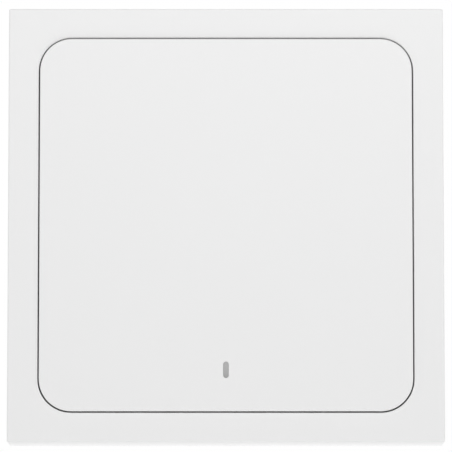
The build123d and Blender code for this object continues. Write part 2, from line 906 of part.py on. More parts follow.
antenna_left = module_x - module_width / 2 + antenna_edge + antenna_width / 2
antenna_right = antenna_left + antenna_reach
antenna_bottom = module_z - antenna_pitch * (2 * antenna_turns - 1) / 2
antenna_points = []
for turn in range(antenna_turns):
    low = antenna_bottom + 2 * turn * antenna_pitch
    high = low + antenna_pitch
    antenna_points += [
        (antenna_left, low),
        (antenna_right, low),
        (antenna_right, high),
        (antenna_left, high),
    ]
with BuildPart() as radio_antenna:
    with BuildSketch(layer(module_front)):
        with BuildLine():
            Polyline(*antenna_points)
        trace(line_width=antenna_width)
    extrude(amount=antenna_wall)
save(radio_antenna, "radio_antenna")

# Small parts on the board
for name, rise, height in (
    ("ceramic_capacitors", capacitors_rise, capacitor_height),
    ("chip_resistors", resistors_rise, resistor_height),
):
    with BuildPart() as chip_parts:
        with BuildSketch(layer(board_front)):
            with Locations((chip_parts_across, board_bottom + rise)):
                with GridLocations(
                    chip_part_pitch_across,
                    chip_part_pitch_up,
                    chip_part_columns,
                    chip_part_rows,
                ):
                    Rectangle(chip_part_length, chip_part_width)
        extrude(amount=height)
    save(chip_parts, name)

with BuildPart() as bulk_capacitor:
    with BuildSketch(layer(board_front)):
        with Locations((switch_spacing / 2 + tantalum_shift, board_bottom + tantalum_rise)):
            Rectangle(tantalum_length, tantalum_width)
    extrude(amount=tantalum_height)
    chamfer(bulk_capacitor.faces().sort_by(Axis.Y)[0].edges(), tantalum_edge)
save(bulk_capacitor, "bulk_capacitor")
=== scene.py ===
# Looks of the square smart button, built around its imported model.
# Everything is in metres: +X to the right, -Y out of the wall towards the viewer, +Z up.
import json
import math

import bpy
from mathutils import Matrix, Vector

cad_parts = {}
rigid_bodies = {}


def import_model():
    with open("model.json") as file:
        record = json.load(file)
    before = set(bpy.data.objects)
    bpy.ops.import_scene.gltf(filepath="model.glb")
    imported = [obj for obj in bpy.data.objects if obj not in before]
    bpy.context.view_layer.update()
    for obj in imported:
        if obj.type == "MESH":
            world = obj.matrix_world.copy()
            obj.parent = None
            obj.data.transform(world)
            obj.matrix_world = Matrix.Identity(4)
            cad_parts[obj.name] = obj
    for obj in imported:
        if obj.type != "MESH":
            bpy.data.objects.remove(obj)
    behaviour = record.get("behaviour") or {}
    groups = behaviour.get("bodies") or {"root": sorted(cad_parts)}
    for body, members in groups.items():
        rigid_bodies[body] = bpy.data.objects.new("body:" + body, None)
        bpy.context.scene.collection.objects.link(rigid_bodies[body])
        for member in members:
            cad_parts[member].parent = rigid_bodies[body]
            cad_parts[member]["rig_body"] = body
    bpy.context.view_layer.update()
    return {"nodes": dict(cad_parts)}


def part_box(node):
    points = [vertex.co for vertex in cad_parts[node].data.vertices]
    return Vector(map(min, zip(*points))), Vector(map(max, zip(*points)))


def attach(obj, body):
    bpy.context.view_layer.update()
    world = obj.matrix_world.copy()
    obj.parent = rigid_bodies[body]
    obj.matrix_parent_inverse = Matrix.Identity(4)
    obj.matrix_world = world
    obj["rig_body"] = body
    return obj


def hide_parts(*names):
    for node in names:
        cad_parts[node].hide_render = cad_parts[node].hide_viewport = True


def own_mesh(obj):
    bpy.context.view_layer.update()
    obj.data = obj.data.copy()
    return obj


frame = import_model()
nodes = frame["nodes"]
mm = 0.001
quarter_turn = math.pi / 2

# Camera: a long lens, a little below the plate and looking slightly up
look_up = math.radians(6.5)
camera_distance = 798 * mm
lens_per_distance = 434.12
aim = Vector((0.012 * mm, -11.5 * mm, -0.31 * mm))
nearest_seen = 0.01
farthest_seen = 20

# Light that falls from all round, and the white that is seen instead of it
world_strength = 0.436
white_view = 1.0

# Floor
floor_height = -118 * mm
floor_size = 3.0
floor_tone = 0.88
floor_roughness = 0.9
floor_shine = 0.1

# An edge or normal counts as square to the wall when this share of its length points along Y
square_share = 0.9

# Edges of a piece that are sharper than this get rounded, in degrees
sharp_edge = 38

# Copies of CAD pieces: what is merged, what is flat, and into how many parts they are cut
merge_distance = 0.002 * mm
cut_tolerance = 0.001 * mm
flat_angle = math.radians(0.5)
even_parts = 6

# Shading
smooth_angle = math.radians(32)
face_weight = 100

# Small measures that several pieces share
plating = 0.03 * mm
round_steps = 64
fine_round_steps = 128


def grey(tone):
    """A colour without a tint."""
    return (tone, tone, tone)


def noise(tree, vector, scale, detail):
    """A noise texture on these coordinates, its scale a number or another node's value."""
    texture = tree.nodes.new("ShaderNodeTexNoise")
    texture.inputs["Detail"].default_value = detail
    tree.links.new(vector, texture.inputs["Vector"])
    if isinstance(scale, (int, float)):
        texture.inputs["Scale"].default_value = scale
    else:
        tree.links.new(scale, texture.inputs["Scale"])
    return texture.outputs["Fac"]


def between(tree, value, low, high, out_low=0.0, out_high=1.0):
    """Maps a value from one range to another, held at its ends."""
    mapped = tree.nodes.new("ShaderNodeMapRange")
    mapped.inputs["From Min"].default_value = low
    mapped.inputs["From Max"].default_value = high
    mapped.inputs["To Min"].default_value = out_low
    mapped.inputs["To Max"].default_value = out_high
    tree.links.new(value, mapped.inputs["Value"])
    return mapped.outputs[0]


def maths(tree, operation, first, second):
    """One sum of two values, each a number or another node's value."""
    node = tree.nodes.new("ShaderNodeMath")
    node.operation = operation
    for index, value in enumerate((first, second)):
        if isinstance(value, (int, float)):
            node.inputs[index].default_value = value
        else:
            tree.links.new(value, node.inputs[index])
    return node.outputs[0]


def parted(tree, vector):
    """The three numbers of a vector, by their letters."""
    parts = tree.nodes.new("ShaderNodeSeparateXYZ")
    tree.links.new(vector, parts.inputs[0])
    return parts.outputs


def blend_colors(tree, share, low, high):
    """A colour between two others, each a tuple or another node's colour."""
    mix = tree.nodes.new("ShaderNodeMix")
    mix.data_type = "RGBA"
    tree.links.new(share, mix.inputs[0])
    for index, color in ((6, low), (7, high)):
        if isinstance(color, tuple):
            mix.inputs[index].default_value = (*color, 1)
        else:
            tree.links.new(color, mix.inputs[index])
    return mix.outputs[2]


def set_camera():
    """Camera at the photograph's distance and tilt."""
    data = bpy.data.cameras.new("camera")
    data.lens = camera_distance * lens_per_distance
    data.clip_start = nearest_seen
    data.clip_end = farthest_seen
    camera = bpy.data.objects.new("camera", data)
    bpy.context.scene.collection.objects.link(camera)
    back = Vector((0, -math.cos(look_up), -math.sin(look_up)))
    camera.location = aim + camera_distance * back
    camera.rotation_euler = (quarter_turn + look_up, 0, 0)
    bpy.context.scene.camera = camera


def seen_or_mirrored(tree):
    """One where a camera, mirror or glass ray looks, nought for the light that falls on pieces."""
    path = tree.nodes.new("ShaderNodeLightPath")
    value = path.outputs["Is Camera Ray"]
    for kind in ("Is Glossy Ray", "Is Transmission Ray"):
        value = maths(tree, "MAXIMUM", value, path.outputs[kind])
    return value


def set_world():
    """White where it is seen, and an even studio light everywhere else."""
    world = bpy.data.worlds.new("studio")
    bpy.context.scene.world = world
    world.use_nodes = True
    tree = world.node_tree
    tree.nodes.clear()
    mix = tree.nodes.new("ShaderNodeMixShader")
    tree.links.new(seen_or_mirrored(tree), mix.inputs[0])
    for index, strength in ((1, world_strength), (2, white_view)):
        background = tree.nodes.new("ShaderNodeBackground")
        background.inputs["Color"].default_value = (*grey(1), 1)
        background.inputs["Strength"].default_value = strength
        tree.links.new(background.outputs[0], mix.inputs[index])
    out = tree.nodes.new("ShaderNodeOutputWorld")
    tree.links.new(mix.outputs[0], out.inputs["Surface"])


def hang(data, place, way):
    """Puts a lamp at its place, shining this way."""
    lamp = bpy.data.objects.new(data.name, data)
    bpy.context.scene.collection.objects.link(lamp)
    lamp.location = place
    lamp.rotation_euler = way.to_track_quat("-Z", "Y").to_euler()
    return lamp


def add_lamp(name, place, target, width, height, power):
    """A soft box, or a strip, that faces the target."""
    data = bpy.data.lights.new(name, "AREA")
    data.shape = "RECTANGLE"
    data.size = width
    data.size_y = height
    data.energy = power
    lamp = hang(data, place, Vector(target) - Vector(place))
    lamp.visible_camera = False


def add_far_lamp(name, place, spread, strength):
    """A lamp too far off to fade across the object, with a soft edge to its shadows."""
    data = bpy.data.lights.new(name, "SUN")
    data.angle = math.radians(spread)
    data.energy = strength
    hang(data, place, -Vector(place))


def set_stage():
    """A wide pale floor well below the object, which lets the light through from below."""
    bpy.ops.object.select_all(action="DESELECT")
    bpy.ops.mesh.primitive_plane_add(size=floor_size, location=(0, 0, floor_height))
    floor = bpy.context.object
    floor.name = "floor"
    material = bpy.data.materials.new("pale_floor")
    material.use_nodes = True
    shader = material.node_tree.nodes["Principled BSDF"]
    shader.inputs["Base Color"].default_value = (*grey(floor_tone), 1)
    shader.inputs["Roughness"].default_value = floor_roughness
    shader.inputs["Specular IOR Level"].default_value = floor_shine
    floor.data.materials.append(material)
    floor.visible_shadow = False


set_camera()
set_world()

add_far_lamp("front", place=(0, -1, 0.35), spread=60, strength=0.425)
add_far_lamp("lower_graze", place=(0.25, -0.5, -1), spread=40, strength=0.82)
add_far_lamp("right_key", place=(1, -0.8, -0.1), spread=60, strength=0.426)
add_far_lamp("left_fill", place=(-1, -0.12, 0), spread=40, strength=0.42)
add_lamp(
    "top_fill", place=(0.03, -0.3, 0.18), target=(0, 0, 0), width=0.2, height=0.2, power=0.245
)
add_lamp(
    "under_strip",
    place=(0, -0.001, -0.052),
    target=(0, -0.001, -0.04),
    width=0.12,
    height=0.002,
    power=0.0034,
)
add_lamp("back_fill", place=(0.1, 0.4, 0.15), target=(0, 0, 0), width=0.3, height=0.3, power=0.5)

set_stage()


def new_group(name, inputs, outputs):
    """An empty shader node group with named sockets, the first a vector."""
    group = bpy.data.node_groups.new(name, "ShaderNodeTree")
    for label, kind, value in (("Vector", "NodeSocketVector", None), *inputs):
        made = group.interface.new_socket(name=label, in_out="INPUT", socket_type=kind)
        if value is not None:
            made.default_value = value
    for label in outputs:
        group.interface.new_socket(name=label, in_out="OUTPUT", socket_type="NodeSocketFloat")
    source = group.nodes.new("NodeGroupInput").outputs
    sink = group.nodes.new("NodeGroupOutput").inputs
    return group, source, sink


def moulded_grain():
    """Fine satin texture of a moulded plastic: a height, and a mask that changes slowly."""
    group, source, sink = new_group(
        "moulded_grain",
        [("Grain", "NodeSocketFloat", 5000.0), ("Drift", "NodeSocketFloat", 30.0)],
        ["Height", "Mask"],
    )
    grain = noise(group, source["Vector"], source["Grain"], detail=3)
    drift = noise(group, source["Vector"], source["Drift"], detail=2)
    group.links.new(grain, sink["Height"])
    group.links.new(drift, sink["Mask"])
    return group


def drawn_streaks():
    """Long fine streaks that drawing or brushing leaves on metal, and slow stains over them."""
    group, source, sink = new_group(
        "drawn_streaks", [("Stretch", "NodeSocketVector", (1.0, 1.0, 1.0))], ["Height", "Mask"]
    )
    stretched = group.nodes.new("ShaderNodeVectorMath")
    stretched.operation = "MULTIPLY"
    group.links.new(source["Vector"], stretched.inputs[0])
    group.links.new(source["Stretch"], stretched.inputs[1])
    streaks = noise(group, stretched.outputs[0], scale=2500.0, detail=4)
    stains = noise(group, source["Vector"], scale=260.0, detail=3)
    group.links.new(streaks, sink["Height"])
    group.links.new(stains, sink["Mask"])
    return group


def etched_tracks():
    """Copper tracks under solder mask, as two crossing sets of fine lines with bare fields."""
    group, source, sink = new_group(
        "etched_tracks", [("Fineness", "NodeSocketFloat", 1000.0)], ["Mask"]
    )
    parts = parted(group, source["Vector"])
    stagger = 0.37
    line_width = 0.09
    line_blur = 0.1
    field_edge = 0.50
    field_blur = 0.02
    masks = []
    # Each set: along, across, and how long its runs and how wide its rows are
    for first, second, run, row in (("X", "Z", 7.3, 1.3), ("Z", "X", 9.1, 1.7)):
        flat = group.nodes.new("ShaderNodeCombineXYZ")
        group.links.new(parts[first], flat.inputs[0])
        group.links.new(parts[second], flat.inputs[1])
        lines = group.nodes.new("ShaderNodeTexBrick")
        lines.offset = stagger
        lines.inputs["Mortar Size"].default_value = line_width
        lines.inputs["Mortar Smooth"].default_value = line_blur
        lines.inputs["Brick Width"].default_value = run
        lines.inputs["Row Height"].default_value = row
        group.links.new(flat.outputs[0], lines.inputs["Vector"])
        group.links.new(source["Fineness"], lines.inputs["Scale"])
        masks.append(lines.outputs["Fac"])
    field = noise(group, source["Vector"], scale=75.0, detail=0)
    inside = between(group, field, field_edge, field_edge + field_blur)
    outside = between(group, field, field_edge, field_edge - field_blur)
    first_set = maths(group, "MULTIPLY", masks[0], inside)
    second_set = maths(group, "MULTIPLY", masks[1], outside)
    group.links.new(maths(group, "MAXIMUM", first_set, second_set), sink["Mask"])
    return group


def foam_cells():
    """Small open cells of a cut foam edge."""
    group, source, sink = new_group(
        "foam_cells", [("Cells", "NodeSocketFloat", 4000.0)], ["Height"]
    )
    cells = group.nodes.new("ShaderNodeTexVoronoi")
    group.links.new(source["Vector"], cells.inputs["Vector"])
    group.links.new(source["Cells"], cells.inputs["Scale"])
    group.links.new(cells.outputs["Distance"], sink["Height"])
    return group


groups = {
    "grain": moulded_grain(),
    "streaks": drawn_streaks(),
    "tracks": etched_tracks(),
    "cells": foam_cells(),
}
materials = {}


def new_material(name, **constants):
    """A material with its shader's plain values set, and its object coordinates."""
    material = bpy.data.materials.new(name)
    materials[name] = material
    material.use_nodes = True
    tree = material.node_tree
    shader = tree.nodes["Principled BSDF"]
    for label, value in constants.items():
        shader.inputs[label.replace("_", " ")].default_value = value
    place = tree.nodes.new("ShaderNodeTexCoord")
    return tree, shader, place.outputs["Object"]


def use_group(tree, name, vector, **values):
    """Places a shared effect in a material."""
    node = tree.nodes.new("ShaderNodeGroup")
    node.node_tree = groups[name]
    tree.links.new(vector, node.inputs["Vector"])
    for label, value in values.items():
        node.inputs[label].default_value = value
    return node.outputs


def tint(tree, shader, share, low, high):
    """Colours the surface between two colours."""
    tree.links.new(blend_colors(tree, share, low, high), shader.inputs["Base Color"])


def vary_gloss(tree, shader, height, smoothest, roughest, low=0, high=1):
    """Lets the roughness follow a height."""
    gloss = between(tree, height, low, high, smoothest, roughest)
    tree.links.new(gloss, shader.inputs["Roughness"])


def raise_surface(tree, shader, height, strength, depth):
    """Lets a height stand out as bumps of this depth in millimetres."""
    bump = tree.nodes.new("ShaderNodeBump")
    bump.inputs["Strength"].default_value = strength
    bump.inputs["Distance"].default_value = depth * mm
    tree.links.new(height, bump.inputs["Height"])
    tree.links.new(bump.outputs[0], shader.inputs["Normal"])


def moulded(name, low, high, roughness, depth=0.004, grain=5000.0, drift=30.0, **constants):
    """Moulded plastic or rubber whose tone and gloss drift a little, with a fine grain."""
    tree, shader, place = new_material(name, **constants)
    texture = use_group(tree, "grain", place, Grain=grain, Drift=drift)
    spread = 0.03
    tint(tree, shader, texture["Mask"], low, high)
    vary_gloss(tree, shader, texture["Height"], roughness - spread, roughness + spread)
    raise_surface(tree, shader, texture["Height"], strength=0.25, depth=depth)


def drawn_metal(name, low, high, roughness, stretch):
    """Metal with fine streaks and slow stains in its plating."""
    tree, shader, place = new_material(name, Metallic=1.0)
    texture = use_group(tree, "streaks", place, Stretch=stretch)
    spread = 0.07
    tint(tree, shader, between(tree, texture["Mask"], 0.35, 0.65), low, high)
    vary_gloss(tree, shader, texture["Height"], roughness - spread, roughness + spread, 0.3, 0.7)
    raise_surface(tree, shader, texture["Height"], strength=0.3, depth=0.003)


def solder_mask(name, base, track, node):
    """Circuit board: tinted mask over tracks, with the bare glass fibre core at its edges."""
    low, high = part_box(node)
    tree, shader, place = new_material(name, IOR=1.5)
    tracks = use_group(tree, "tracks", place)
    grain = use_group(tree, "grain", place, Grain=9000.0, Drift=90.0)
    covered = blend_colors(tree, tracks["Mask"], base, track)
    bare_core = (0.62, 0.56, 0.33)
    off_middle = maths(tree, "SUBTRACT", parted(tree, place)["Y"], (low[1] + high[1]) / 2)
    off_middle = maths(tree, "ABSOLUTE", off_middle, 0)
    half = (high[1] - low[1]) / 2
    skin = between(tree, off_middle, half - 0.08 * mm, half - 0.05 * mm)
    tint(tree, shader, skin, bare_core, covered)
    vary_gloss(tree, shader, grain["Height"], 0.3, 0.42)
    raise_surface(tree, shader, tracks["Mask"], strength=0.5, depth=0.03)


def banded(name, low, high, roughness, band, edge):
    """Moulded resin case with a plain polarity band across its left end."""
    tree, shader, place = new_material(name)
    texture = use_group(tree, "grain", place, Grain=7000.0, Drift=300.0)
    fade = 0.02 * mm
    spread = 0.05
    beyond = between(tree, parted(tree, place)["X"], edge - fade, edge + fade)
    case = blend_colors(tree, texture["Mask"], low, high)
    tint(tree, shader, beyond, band, case)
    vary_gloss(tree, shader, texture["Height"], roughness - spread, roughness + spread)
    raise_surface(tree, shader, texture["Height"], strength=0.3, depth=0.006)


def foam_sheet(name, low, high):
    """Closed foam with small cells at its cut edge."""
    tree, shader, place = new_material(name, Roughness=0.95)
    cells = use_group(tree, "cells", place)
    tint(tree, shader, cells["Height"], low, high)
    raise_surface(tree, shader, cells["Height"], strength=0.8, depth=0.05)


def window_plastic_painted_glow(name, dark, light, node):
    """Grey light guide, painted a little lighter towards its top: a painted glow, as if lit from
    above.
    """
    low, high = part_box(node)
    tree, shader, place = new_material(name, IOR=1.49)
    texture = use_group(tree, "grain", place, Grain=900.0, Drift=400.0)
    end = 0.7 * mm
    # Painted light: the tone lightens from the bottom of the window to its top
    painted_glow_rise = between(tree, parted(tree, place)["Z"], low[2] + end, high[2] - end)
    cloud = between(tree, texture["Mask"], 0, 1, 0.9, 1.1)
    tint(tree, shader, maths(tree, "MULTIPLY", cloud, painted_glow_rise), dark, light)
    vary_gloss(tree, shader, texture["Height"], 0.3, 0.4)
    raise_surface(tree, shader, texture["Height"], strength=0.1, depth=0.002)


# Finishes: two tones that each one wanders between, its roughness, then what sets it apart
white = grey(0.855)
white_light = grey(0.865)
moulded("frame_plastic", white, white_light, 0.4)
moulded("cover_plastic", white, white_light, 0.4)
# The lens's lighter tone is a painted glow, laid towards its top
window_plastic_painted_glow("lens_plastic", grey(0.375), grey(0.45), node="indicator_lens")
moulded("chassis_plastic", (0.76, 0.76, 0.75), (0.8, 0.8, 0.79), 0.5)
moulded("plate_plastic", (0.78, 0.78, 0.77), (0.82, 0.82, 0.81), 0.5)
moulded("gasket_plastic", (0.1, 0.11, 0.18), (0.13, 0.14, 0.21), 0.45)
moulded("shroud_plastic", grey(0.88), grey(0.92), 0.5)
moulded("led_plastic", (0.85, 0.84, 0.77), (0.9, 0.89, 0.82), 0.4)

foam_sheet("foam", (0.1, 0.1, 0.105), (0.22, 0.22, 0.23))
moulded(
    "release_film", (0.62, 0.66, 0.7), (0.7, 0.73, 0.76), 0.28,
    depth=0.02, grain=900.0, drift=140.0, IOR=1.45,
)

solder_mask("board_green", (0.015, 0.13, 0.05), (0.035, 0.21, 0.09), node="circuit_board")
solder_mask("module_board", (0.012, 0.04, 0.16), (0.03, 0.09, 0.26), node="radio_board")

along_x = (0.05, 1.0, 1.0)
along_z = (1.0, 1.0, 0.05)
even = (1.0, 1.0, 1.0)
drawn_metal("screw_steel", (0.55, 0.55, 0.57), grey(0.66), 0.3, even)
drawn_metal("cell_steel", (0.68, 0.68, 0.67), (0.76, 0.76, 0.75), 0.24, along_z)
drawn_metal("contact_metal", (0.7, 0.66, 0.57), (0.79, 0.76, 0.68), 0.26, along_x)
drawn_metal("shell_steel", (0.64, 0.64, 0.65), grey(0.74), 0.27, along_x)
drawn_metal("antenna_copper", (0.78, 0.52, 0.21), (0.86, 0.62, 0.3), 0.22, along_z)

moulded(
    "switch_plastic", (0.04, 0.04, 0.043), (0.06, 0.06, 0.065), 0.5,
    depth=0.01, grain=7000.0, drift=250.0,
)
moulded(
    "plunger_rubber", (0.66, 0.15, 0.11), (0.76, 0.2, 0.15), 0.62,
    depth=0.01, grain=6000.0, drift=300.0,
)
moulded(
    "bumper_rubber", grey(0.16), grey(0.23), 0.75,
    depth=0.01, grain=6000.0, drift=200.0,
)
moulded(
    "led_resin", (0.86, 0.8, 0.42), (0.92, 0.87, 0.52), 0.14,
    depth=0.002, grain=900.0, drift=700.0, IOR=1.52,
)
moulded(
    "chip_resin", grey(0.022), grey(0.04), 0.48,
    depth=0.008, grain=12000.0, drift=400.0,
)
moulded("chip_base", (0.84, 0.83, 0.8), (0.9, 0.89, 0.86), 0.55, grain=9000.0)
moulded(
    "ceramic", (0.48, 0.36, 0.23), (0.62, 0.48, 0.33), 0.6,
    depth=0.006, grain=9000.0, drift=900.0,
)
banded(
    "tantalum_resin", (0.7, 0.5, 0.08), (0.8, 0.6, 0.12), 0.5,
    band=(0.3, 0.12, 0.02), edge=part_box("bulk_capacitor")[0][0] + 1.5 * mm,
)


def clear():
    """Leaves edit mode, deselects everything and goes back to picking points."""
    if bpy.context.mode != "OBJECT":
        bpy.ops.object.mode_set(mode="OBJECT")
    bpy.ops.object.select_all(action="DESELECT")
    bpy.context.tool_settings.mesh_select_mode = (True, False, False)


def hold(piece):
    """Makes this piece the only one that operators act on."""
    clear()
    bpy.context.view_layer.objects.active = piece
    piece.select_set(True)


def shape_all():
    """Goes into edit mode with the whole mesh selected."""
    bpy.ops.object.mode_set(mode="EDIT")
    bpy.ops.mesh.select_all(action="SELECT")


def shape_done():
    """Leaves edit mode."""
    bpy.ops.object.mode_set(mode="OBJECT")


def place_in_mesh(piece):
    """Moves the piece's place, turn and scale into its mesh."""
    hold(piece)
    bpy.ops.object.transform_apply(location=True, rotation=True, scale=True)
    return piece


def block(low, high):
    """A block between two corners."""
    clear()
    low = Vector(low)
    high = Vector(high)
    bpy.ops.mesh.primitive_cube_add(size=1, location=(low + high) / 2, scale=high - low)
    return place_in_mesh(bpy.context.object)


def pick_faces(piece, test):
    """Selects, in edit mode, the faces whose normal passes the test."""
    hold(piece)
    bpy.context.tool_settings.mesh_select_mode = (False, False, True)
    for part in (piece.data.vertices, piece.data.edges):
        part.foreach_set("select", [False] * len(part))
    for face in piece.data.polygons:
        face.select = test(face.normal)
    bpy.ops.object.mode_set(mode="EDIT")


def pick_front(piece):
    """Selects, in edit mode, the faces that look out of the wall."""
    pick_faces(piece, lambda normal: normal.y < -square_share)


def pick_back(piece):
    """Selects, in edit mode, the faces that look into the wall."""
    pick_faces(piece, lambda normal: normal.y > square_share)


def pick_edges(piece, test):
    """Selects, in edit mode, the edges whose two ends pass the test."""
    hold(piece)
    bpy.context.tool_settings.mesh_select_mode = (False, True, False)
    for part in (piece.data.vertices, piece.data.polygons):
        part.foreach_set("select", [False] * len(part))
    points = piece.data.vertices
    for edge in piece.data.edges:
        first, second = edge.vertices
        edge.select = test(points[first].co, points[second].co)
    bpy.ops.object.mode_set(mode="EDIT")


def runs_out(first, second):
    """Whether an edge runs square to the wall."""
    return abs(first.y - second.y) > square_share * (first - second).length


def bevel_picked(width, segments):
    """Rounds the selected edges and leaves edit mode."""
    bpy.ops.mesh.bevel(offset=width, segments=segments, affect="EDGES")
    shape_done()


def taper_picked(across, up, middle):
    """Shrinks the selected faces towards a middle and leaves edit mode."""
    bpy.ops.transform.resize(value=(across, 1, up), center_override=middle)
    shape_done()


def round_edges(piece, width, segments, angle=sharp_edge):
    """Rounds all edges sharper than the angle."""
    hold(piece)
    rounding = piece.modifiers.new("rounding", "BEVEL")
    rounding.width = width
    rounding.segments = segments
    rounding.limit_method = "ANGLE"
    rounding.angle_limit = math.radians(angle)
    rounding.miter_outer = "MITER_ARC"
    rounding.use_clamp_overlap = True
    bpy.ops.object.modifier_apply(modifier="rounding")
    return piece


def drawn_circle(across, up, rings, segments, fill):
    """A circle square to the wall, drawn on through rings of radius and depth, in edit mode."""
    radius, depth = rings[0]
    clear()
    bpy.ops.mesh.primitive_circle_add(
        vertices=segments,
        radius=radius,
        fill_type=fill,
        location=(across, -depth, up),
        rotation=(quarter_turn, 0, 0),
    )
    piece = place_in_mesh(bpy.context.object)
    shape_all()
    for next_radius, next_depth in rings[1:]:
        step = (0, depth - next_depth, 0)
        bpy.ops.mesh.extrude_region_move(TRANSFORM_OT_translate={"value": step})
        grow = next_radius / radius
        middle = (across, -next_depth, up)
        bpy.ops.transform.resize(value=(grow, 1, grow), center_override=middle)
        radius = next_radius
        depth = next_depth
    bpy.ops.mesh.select_all(action="SELECT")
    return piece


def turned(across, up, rings, segments):
    """A solid turned about an axis square to the wall, from rings of radius and depth."""
    piece = drawn_circle(across, up, rings, segments, "NGON")
    bpy.ops.mesh.normals_make_consistent(inside=False)
    shape_done()
    return piece


def turned_ring(across, up, rings, segments):
    """A closed ring turned about an axis square to the wall, its section given as rings."""
    piece = drawn_circle(across, up, [*rings, rings[0]], segments, "NOTHING")
    bpy.ops.mesh.remove_doubles(threshold=cut_tolerance)
    bpy.ops.mesh.normals_make_consistent(inside=False)
    shape_done()
    return piece


def joined(pieces):
    """Several pieces made one."""
    clear()
    for piece in pieces:
        piece.select_set(True)
    bpy.context.view_layer.objects.active = pieces[0]
    bpy.ops.object.join()
    return pieces[0]


def repeated(piece, steps):
    """The piece and its copies moved by each step, made one."""
    made = [piece]
    for step in steps:
        hold(piece)
        bpy.ops.object.duplicate()
        copy = bpy.context.object
        copy.location = step
        made.append(place_in_mesh(copy))
    return joined(made)


def cut_away(piece, cutter):
    """Takes the cutter's shape out of the piece."""
    hold(piece)
    cut = piece.modifiers.new("cut", "BOOLEAN")
    cut.operation = "DIFFERENCE"
    cut.solver = "EXACT"
    cut.object = cutter
    bpy.ops.object.modifier_apply(modifier="cut")
    bpy.data.objects.remove(cutter)


def finish(piece, name, node, material, stands_in=True):
    """Names a piece, gives it its finish and lets it ride with the node that it belongs to."""
    place_in_mesh(piece)
    bpy.ops.object.shade_smooth_by_angle(angle=smooth_angle)
    even_shading = piece.modifiers.new("even_shading", "WEIGHTED_NORMAL")
    even_shading.keep_sharp = True
    even_shading.weight = face_weight
    bpy.ops.object.modifier_apply(modifier="even_shading")
    piece.name = name
    piece.data.name = name
    piece.data.materials.clear()
    piece.data.materials.append(materials[material])
    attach(piece, nodes[node]["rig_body"])
    if stands_in:
        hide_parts(node)
    return piece


def even_cuts(node):
    """Planes that part a piece evenly, across and up."""
    low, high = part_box(node)
    cuts = []
    for axis in (0, 2):
        way = Vector([float(axis == other) for other in range(3)])
        for step in range(1, even_parts):
            cuts.append((way * (low[axis] + (high[axis] - low[axis]) * step / even_parts), way))
    return cuts


def merged_copy(node):
    """A copy of a CAD piece, its doubles merged and its flat faces whole between even cuts."""
    source = nodes[node]
    piece = bpy.data.objects.new(node + "_copy", source.data.copy())
    bpy.context.scene.collection.objects.link(piece)
    hold(piece)
    bpy.context.tool_settings.mesh_select_mode = (False, True, False)
    shape_all()
    bpy.ops.mesh.remove_doubles(threshold=merge_distance)
    for place, way in even_cuts(node):
        bpy.ops.mesh.select_all(action="SELECT")
        bpy.ops.mesh.bisect(plane_co=place, plane_no=way, threshold=cut_tolerance)
        bpy.ops.mesh.mark_seam()
    bpy.ops.mesh.select_all(action="SELECT")
    bpy.ops.mesh.dissolve_limited(angle_limit=flat_angle, delimit={"SEAM"})
    shape_done()
    return piece


def refined(node, name, width, segments, material):
    """A CAD piece in its place, with its edges rounded by a width in millimetres."""
    piece = round_edges(merged_copy(node), width * mm, segments)
    return finish(piece, name, node, material)


def case_parts():
    """Frame, press cover and indicator, as the photograph shows them, and what holds them."""
    refined("frame", "frame_shell", 0.06, 2, "frame_plastic")
    refined("button_cover", "press_cover", 0.03, 2, "cover_plastic")
    refined("indicator_lens", "light_window", 0.015, 1, "lens_plastic")
    refined("chassis", "chassis_tray", 0.06, 2, "chassis_plastic")
    refined("wall_plate", "wall_base", 0.08, 2, "plate_plastic")
    refined("light_shroud", "light_chimney", 0.05, 2, "shroud_plastic")
    refined("landing_bumpers", "landing_strips", 0.12, 4, "bumper_rubber")


def adhesive_pad(side):
    """Foam pad with rounded corners under a release film that is split across its middle."""
    node = f"adhesive_pad_{side}"
    low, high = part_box(node)
    film = 0.06 * mm
    foam_corner = 1.6 * mm
    film_corner = 1.5 * mm
    corner_steps = 8
    inset = 0.12 * mm
    split = 0.25 * mm
    same_height = 0.01 * mm
    foam = block(low, (high[0], high[1] - film, high[2]))
    pick_edges(foam, runs_out)
    bevel_picked(foam_corner, corner_steps)
    finish(foam, f"pad_foam_{side}", node, "foam")
    middle = (low[2] + high[2]) / 2
    lowest = low[2] + inset
    highest = high[2] - inset
    halves = []
    # Each half has round corners only at its outer end
    for bottom, top, outer in (
        (lowest, middle - split / 2, lowest),
        (middle + split / 2, highest, highest),
    ):
        half = block((low[0] + inset, high[1] - film, bottom), (high[0] - inset, high[1], top))
        pick_edges(half, lambda a, b, z=outer: runs_out(a, b) and abs(a.z - z) < same_height)
        bevel_picked(film_corner, corner_steps)
        halves.append(half)
    finish(joined(halves), f"pad_film_{side}", node, "release_film")


def drive_recess(across, up, top, bottom):
    """The two arms of a cross-shaped cutter, narrower at its foot."""
    span = 2.1 * mm
    slot = 0.42 * mm
    above = 0.1 * mm
    foot_share = 0.55
    arms = []
    for length, width in ((span, slot), (slot, span)):
        arm = block(
            (across - length / 2, -top - above, up - width / 2),
            (across + length / 2, -bottom, up + width / 2),
        )
        pick_back(arm)
        taper_picked(foot_share, foot_share, (across, -bottom, up))
        arms.append(arm)
    return arms


